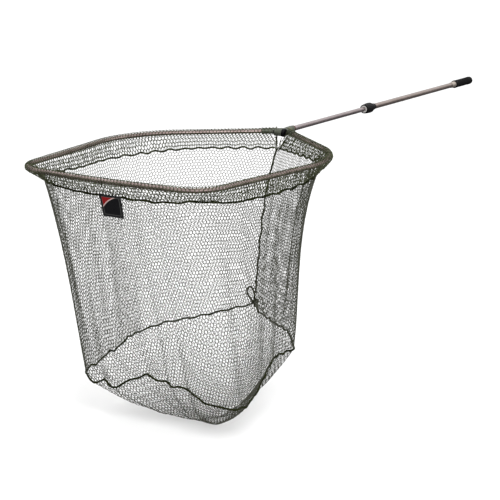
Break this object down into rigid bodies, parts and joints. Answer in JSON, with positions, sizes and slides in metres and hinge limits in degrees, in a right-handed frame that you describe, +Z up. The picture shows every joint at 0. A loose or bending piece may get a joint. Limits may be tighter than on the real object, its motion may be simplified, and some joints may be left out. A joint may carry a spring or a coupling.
{
  "type": "landing net",
  "caption": "Folding landing net: a hinged square hoop with a deep hanging net bag on a telescopic handle with a short rubber grip.",
  "frame": {"origin": "under the middle of the whole net as it is held, level with the lowest point of the bag", "axes": "+X along the handle, away from the hoop; +Z up, square to the hoop's plane; +Y to the left of someone holding the grip and facing the hoop, along the hoop's hinge axis"},
  "size_m": [2.3726, 0.7748, 0.7932],
  "materials": {
    "anodised_tube": "satin",
    "ferrule": "satin",
    "cast_head": "matte",
    "dark_ring": "satin",
    "black_plastic": "satin",
    "pale_plastic": "satin",
    "grip_rubber": "matte",
    "steel": "satin",
    "net_mesh": "matte",
    "olive_cord": "matte",
    "label_cloth": "matte"
  },
  "bodies": {
    "handle": {"outer_tube": "anodised_tube", "grip_ferrule": "ferrule", "grip": "grip_rubber", "butt_cap": "black_plastic", "lock_collet": "pale_plastic"},
    "collar": {"collar_nut": "black_plastic", "collar_bush": "pale_plastic"},
    "shaft": {"inner_tube": "anodised_tube", "inner_end_bush": "black_plastic", "head_bracket": "cast_head", "socket_ring": "dark_ring", "socket_rivet": "steel"},
    "hoop": {"cheek_left": "cast_head", "cheek_right": "cast_head", "hinge_pin": "steel", "pin_cap": "black_plastic", "lock_housing": "black_plastic", "lock_spring": "steel", "hoop_tube_left": "anodised_tube", "hoop_tube_right": "anodised_tube", "hoop_spigot": "anodised_tube", "net_near_left": "net_mesh", "net_left": "net_mesh", "net_far": "net_mesh", "net_right": "net_mesh", "net_near_right": "net_mesh", "net_base": "net_mesh", "sleeve_cord": "olive_cord", "base_cord": "olive_cord", "seam_cord": "olive_cord", "seam_knot": "olive_cord", "label_tag": "label_cloth"},
    "button": {"lock_button": "black_plastic", "lock_gear": "steel"}
  },
  "joints": [
    {"name": "collar_twist", "type": "hinge", "parent": "handle", "child": "collar", "pos_m": [0.34631, 0, 0.775], "axis": [1, 0, 0], "range_deg": [-90, 0]},
    {"name": "handle_extend", "type": "slide", "parent": "handle", "child": "shaft", "axis": [-1, 0, 0], "range_m": [-0.43, 0.08]},
    {"name": "hoop_fold", "type": "hinge", "parent": "shaft", "child": "hoop", "pos_m": [-0.25368, 0, 0.775], "axis": [0, 1, 0], "range_deg": [0, 172]},
    {"name": "lock_press", "type": "slide", "parent": "hoop", "child": "button", "axis": [0, 1, 0], "range_m": [0, 0.0032], "stiffness_N_per_m": 500, "springref_m": -0.002, "deforming": ["lock_spring"]}
  ]
}
